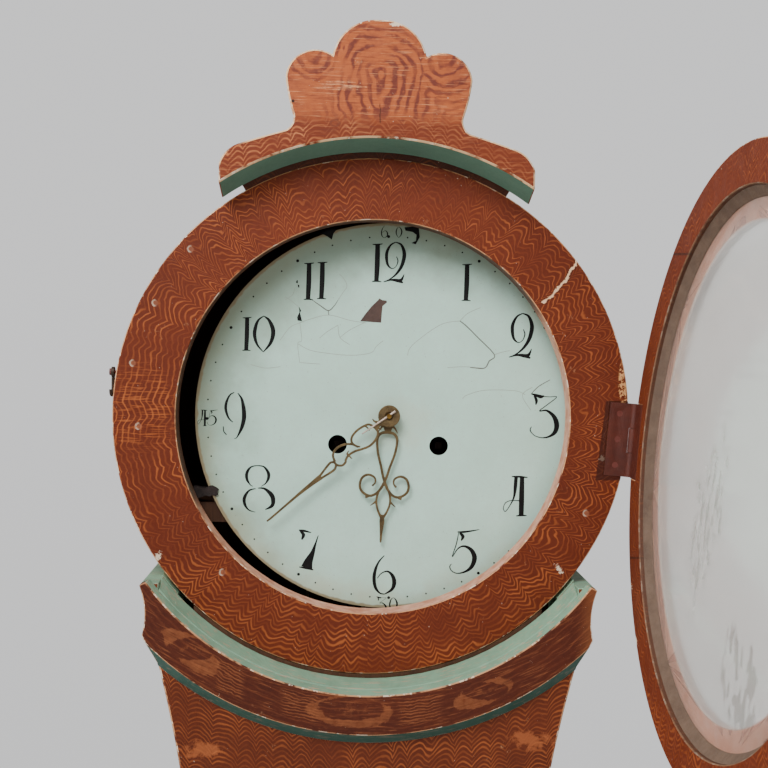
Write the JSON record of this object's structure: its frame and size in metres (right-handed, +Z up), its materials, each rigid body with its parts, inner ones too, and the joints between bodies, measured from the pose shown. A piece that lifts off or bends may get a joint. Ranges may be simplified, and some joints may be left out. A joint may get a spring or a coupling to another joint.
{
  "type": "tall case clock",
  "caption": "Painted hourglass-shaped tall case clock with a round hood, a hinged glazed door, pierced hands and a weight-driven striking movement with a pendulum.",
  "frame": {"origin": "middle of the case on the floor, halfway from its front to its back", "axes": "+Z up, the front with the dial faces -Y, +X to the viewer's right"},
  "size_m": [0.5118, 0.6711, 2.1517],
  "materials": {
    "grained_wood": "old oil paint in dark red-brown with combed orange-tan graining, worn satin",
    "green_wood": "dark grey-green oil paint, worn at the edges",
    "bare_wood": "unpainted aged pine, dull",
    "plinth_wood": "red-brown combed graining over pine, dark green mouldings",
    "dial_paint": "pale blue-green oil paint on iron sheet, black numerals, cracked and worn",
    "iron": "dark wrought iron",
    "painted_iron": "iron painted over in red-brown, worn grey at the knuckles",
    "bronze": "dark bronze, satin",
    "brass": "cast brass, lightly tarnished",
    "steel": "turned steel, oiled",
    "bell_metal": "cast bell metal, satin",
    "glass": "old thin window glass, smudged",
    "putty": "hardened linseed putty, grey-brown",
    "cord": "twisted hemp line, waxed"
  },
  "bodies": {
    "case": {"floor_board": "bare_wood", "plinth_boards": "plinth_wood", "plinth_mouldings": "green_wood", "trunk_front": "grained_wood", "trunk_sides": "grained_wood", "backboard": "bare_wood", "collar_front": "grained_wood", "collar_returns": "green_wood", "neck_boards": "bare_wood", "seat_board": "bare_wood", "trunk_hinge_frame_leaves": "painted_iron", "line_ends": "cord", "front_plate": "brass", "back_plate": "brass", "pillars": "iron", "movement_brackets": "iron", "dial": "dial_paint", "dial_clip": "iron", "bell": "bell_metal"},
    "hood": {"hood_ring": "grained_wood", "hood_hoop": "grained_wood", "hood_braces": "bare_wood", "crest_board": "green_wood", "ring_hinge_leaf": "painted_iron", "hinge_pin": "iron", "ring_screws": "painted_iron"},
    "glazed_door": {"bezel_ring": "grained_wood", "bezel_glass": "glass", "bezel_putty": "putty", "bezel_hinge_leaf": "painted_iron", "latch_nail": "iron"},
    "latch": {"latch_hook": "iron"},
    "trunk_door": {"trunk_door": "grained_wood", "trunk_door_knob": "brass", "trunk_hinge_door_leaves": "painted_iron"},
    "minute_hand": {"minute_hand": "bronze", "cannon_pinion": "steel"},
    "minute_wheel": {"minute_wheel": "brass"},
    "hour_hand": {"hour_hand": "bronze", "hour_wheel": "brass"},
    "escape_wheel": {"escape_wheel": "brass"},
    "third_wheel": {"third_wheel": "brass"},
    "centre_wheel": {"centre_wheel": "brass", "hand_pin": "steel"},
    "going_great_wheel": {"going_great_wheel": "brass"},
    "going_weight": {"going_weight": "iron", "going_line": "cord"},
    "going_drum": {"going_drum": "brass"},
    "going_pulley": {"going_pulley": "brass"},
    "strike_weight": {"strike_weight": "iron", "strike_line": "cord"},
    "strike_drum": {"strike_drum": "brass"},
    "strike_pulley": {"strike_pulley": "brass"},
    "fly": {"fly": "steel"},
    "pin_wheel": {"pin_wheel": "brass"},
    "strike_great_wheel": {"strike_great_wheel": "brass"},
    "hammer": {"hammer": "steel"},
    "pendulum": {"anchor": "steel", "pendulum_rod": "steel", "pendulum_bob": "brass"}
  },
  "joints": [
    {"name": "hood_slide", "type": "slide", "parent": "case", "child": "hood", "axis": [0, -1, 0], "range_m": [0, 0.24]},
    {"name": "glazed_door_swing", "type": "hinge", "parent": "hood", "child": "glazed_door", "pos_m": [0.22964, -0.095, 1.79894], "axis": [0.0698, 0, 0.9976], "range_deg": [-91, 70]},
    {"name": "latch_swing", "type": "hinge", "parent": "hood", "child": "latch", "pos_m": [-0.22717, -0.085, 1.85098], "axis": [1, 0, 0], "range_deg": [-95, 60]},
    {"name": "trunk_door_swing", "type": "hinge", "parent": "case", "child": "trunk_door", "pos_m": [0.09375, -0.1185, 1.02], "axis": [0, 0, 1], "range_deg": [0, 110]},
    {"name": "minute_hand_turn", "type": "hinge", "parent": "case", "child": "minute_hand", "pos_m": [0.016, 0, 1.815], "axis": [0, 1, 0], "continuous": true},
    {"name": "minute_wheel_turn", "type": "hinge", "parent": "case", "child": "minute_wheel", "pos_m": [0.028, 0, 1.79421], "axis": [0, 1, 0], "continuous": true},
    {"name": "hour_hand_turn", "type": "hinge", "parent": "case", "child": "hour_hand", "pos_m": [0.016, 0, 1.815], "axis": [0, 1, 0], "continuous": true},
    {"name": "escape_wheel_turn", "type": "hinge", "parent": "case", "child": "escape_wheel", "pos_m": [0.016, 0, 1.8662], "axis": [0, 1, 0], "continuous": true},
    {"name": "third_wheel_turn", "type": "hinge", "parent": "case", "child": "third_wheel", "pos_m": [0.03116, 0, 1.84362], "axis": [0, 1, 0], "continuous": true},
    {"name": "centre_wheel_turn", "type": "hinge", "parent": "case", "child": "centre_wheel", "pos_m": [0.016, 0, 1.815], "axis": [0, 1, 0], "continuous": true},
    {"name": "going_great_wheel_turn", "type": "hinge", "parent": "case", "child": "going_great_wheel", "pos_m": [0.062, 0, 1.788], "axis": [0, 1, 0], "continuous": true},
    {"name": "fly_turn", "type": "hinge", "parent": "case", "child": "fly", "pos_m": [-0.02544, 0, 1.85781], "axis": [0, 1, 0], "continuous": true},
    {"name": "pin_wheel_turn", "type": "hinge", "parent": "case", "child": "pin_wheel", "pos_m": [-0.03384, 0, 1.83194], "axis": [0, 1, 0], "continuous": true},
    {"name": "strike_great_wheel_turn", "type": "hinge", "parent": "case", "child": "strike_great_wheel", "pos_m": [-0.03, 0, 1.788], "axis": [0, 1, 0], "continuous": true},
    {"name": "hammer_lift", "type": "hinge", "parent": "case", "child": "hammer", "pos_m": [-0.06232, 0, 1.85532], "axis": [0, 1, 0], "range_deg": [-10, 0]},
    {"name": "pendulum_swing", "type": "hinge", "parent": "case", "child": "pendulum", "pos_m": [0.016, 0, 1.898], "axis": [0, 1, 0], "range_deg": [-2, 2]},
    {"name": "going_weight_lift", "type": "slide", "parent": "case", "child": "going_weight", "axis": [0, 0, 1], "range_m": [0, 1.2], "deforming": ["going_line"]},
    {"name": "going_drum_turn", "type": "hinge", "parent": "case", "child": "going_drum", "pos_m": [0.062, 0, 1.788], "axis": [0, 1, 0], "range_deg": [-5300, 5300]},
    {"name": "going_pulley_turn", "type": "hinge", "parent": "going_weight", "child": "going_pulley", "pos_m": [0.062, -0.0075, 0.298], "axis": [0, 1, 0], "range_deg": [-2700, 2700]},
    {"name": "strike_weight_lift", "type": "slide", "parent": "case", "child": "strike_weight", "axis": [0, 0, 1], "range_m": [0, 1.2], "deforming": ["strike_line"]},
    {"name": "strike_drum_turn", "type": "hinge", "parent": "case", "child": "strike_drum", "pos_m": [-0.03, 0, 1.788], "axis": [0, 1, 0], "range_deg": [-5300, 5300]},
    {"name": "strike_pulley_turn", "type": "hinge", "parent": "strike_weight", "child": "strike_pulley", "pos_m": [-0.03, -0.0075, 0.298], "axis": [0, 1, 0], "range_deg": [-2700, 2700]}
  ],
  "couplings": [
    {"joint": "minute_wheel_turn", "follows": "minute_hand_turn", "ratio": -1},
    {"joint": "hour_hand_turn", "follows": "minute_hand_turn", "ratio": 0.083333},
    {"joint": "third_wheel_turn", "follows": "escape_wheel_turn", "ratio": -0.13333},
    {"joint": "centre_wheel_turn", "follows": "escape_wheel_turn", "ratio": 0.016667},
    {"joint": "going_great_wheel_turn", "follows": "escape_wheel_turn", "ratio": -0.0013889},
    {"joint": "pin_wheel_turn", "follows": "fly_turn", "ratio": -0.13333},
    {"joint": "strike_great_wheel_turn", "follows": "fly_turn", "ratio": 0.013675},
    {"joint": "going_drum_turn", "follows": "going_weight_lift", "rad_per_m": -76.19},
    {"joint": "going_pulley_turn", "follows": "going_weight_lift", "rad_per_m": 38.095},
    {"joint": "strike_drum_turn", "follows": "strike_weight_lift", "rad_per_m": 76.19},
    {"joint": "strike_pulley_turn", "follows": "strike_weight_lift", "rad_per_m": -38.095}
  ]
}
